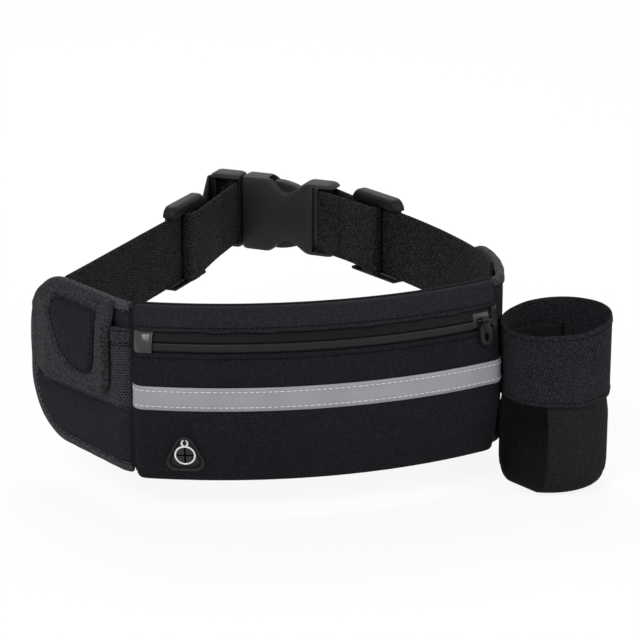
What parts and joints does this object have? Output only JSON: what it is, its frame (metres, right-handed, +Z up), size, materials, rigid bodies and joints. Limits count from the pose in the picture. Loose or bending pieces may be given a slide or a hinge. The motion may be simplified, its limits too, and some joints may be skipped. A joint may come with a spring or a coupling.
{
  "type": "waist pack",
  "caption": "Slim curved running waist pack with a zipped front pouch, a flapped key pocket, an elastic bottle holder and an adjustable elastic belt with a side-release buckle.",
  "frame": {"origin": "inside the belt's loop on the wearer's axis, level with the pouch's bottom edge", "axes": "+X towards the bottle holder, +Y from the pouch to the buckle, +Z up when worn"},
  "size_m": [0.3011, 0.2772, 0.1174],
  "materials": {
    "neoprene": "matt black knit-faced neoprene",
    "air_mesh": "black knitted air mesh",
    "lining": "matt black woven lining",
    "elastic": "black ribbed elastic webbing",
    "reflector": "silver grey reflective tape with white stitching",
    "zip_tape": "coated black tape",
    "zip_nylon": "black nylon coil",
    "zip_film": "smooth black film",
    "zip_metal": "black enamel",
    "port_rubber": "moulded black rubber",
    "port_white": "white print",
    "hook_and_loop": "black hook and loop tape",
    "buckle_plastic": "satin black acetal"
  },
  "bodies": {
    "pack": {"front_panel": "neoprene", "top_panel": "neoprene", "left_end_seam": "neoprene", "right_end_seam": "neoprene", "left_wing_panel": "neoprene", "right_wing_panel": "neoprene", "back_mesh_pad": "air_mesh", "left_wing_binding": "air_mesh", "right_wing_binding": "air_mesh", "key_pocket_panel": "air_mesh", "key_pocket_hem": "air_mesh", "flap_seam_strip": "air_mesh", "back_panel": "lining", "bottle_band": "elastic", "bottle_base_strap": "elastic", "left_strap": "elastic", "right_strap": "elastic", "right_buckle_loop": "elastic", "reflective_stripe": "reflector", "lower_zip_tape": "zip_tape", "upper_zip_tape": "zip_tape", "lower_zip_coil": "zip_nylon", "upper_zip_coil": "zip_nylon", "left_zip_garage": "zip_film", "right_zip_garage": "zip_film", "earphone_port": "port_rubber", "earphone_ring": "port_white", "pocket_loop_patch": "hook_and_loop", "buckle_socket": "buckle_plastic"},
    "zip_slider": {"zip_slider": "zip_metal"},
    "zip_pull": {"zip_pull": "zip_metal"},
    "pocket_flap": {"key_pocket_flap": "neoprene", "flap_hook_patch": "hook_and_loop"},
    "buckle_plug": {"buckle_plug": "buckle_plastic", "left_buckle_loop": "elastic"},
    "prong_upper": {"plug_prong_upper": "buckle_plastic"},
    "prong_lower": {"plug_prong_lower": "buckle_plastic"},
    "left_tri_glide": {"left_tri_glide": "buckle_plastic", "left_strap_return": "elastic"},
    "right_tri_glide": {"right_tri_glide": "buckle_plastic", "right_strap_return": "elastic"}
  },
  "joints": [
    {"name": "zip_travel", "type": "hinge", "parent": "pack", "child": "zip_slider", "pos_m": [0, 0.122, 0.0748], "axis": [0, 0, -1], "range_deg": [0, 40.4]},
    {"name": "pull_swing", "type": "hinge", "parent": "zip_slider", "child": "zip_pull", "pos_m": [0.0858, -0.10871, 0.07538], "axis": [-0.9373, -0.3486, 0], "range_deg": [0, 150]},
    {"name": "flap_open", "type": "hinge", "parent": "pack", "child": "pocket_flap", "pos_m": [-0.12194, -0.05551, 0.0868], "axis": [-0.4994, 0.8663, 0], "range_deg": [0, 100]},
    {"name": "plug_release", "type": "slide", "parent": "pack", "child": "buckle_plug", "axis": [-0.8192, 0.5736, 0], "range_m": [0, 0.036], "deforming": ["left_buckle_loop", "plug_prong_upper", "plug_prong_lower"]},
    {"name": "prong_upper_squeeze", "type": "hinge", "parent": "buckle_plug", "child": "prong_upper", "pos_m": [0.01113, 0.12573, 0.0855], "axis": [0.5736, 0.8192, 0], "range_deg": [0, 7], "stiffness_Nm_per_rad": 1},
    {"name": "prong_lower_squeeze", "type": "hinge", "parent": "buckle_plug", "child": "prong_lower", "pos_m": [0.01113, 0.12573, 0.0635], "axis": [-0.5736, -0.8192, 0], "range_deg": [0, 7], "stiffness_Nm_per_rad": 1},
    {"name": "left_adjust", "type": "slide", "parent": "pack", "child": "left_tri_glide", "axis": [-0.5931, -0.8052, 0], "range_m": [0, 0.06], "deforming": ["left_strap_return"]},
    {"name": "right_adjust", "type": "hinge", "parent": "pack", "child": "right_tri_glide", "pos_m": [-0.27957, -0.10427, 0.072], "axis": [0, 0, -1], "range_deg": [0, 5.7], "deforming": ["right_strap_return"]}
  ]
}
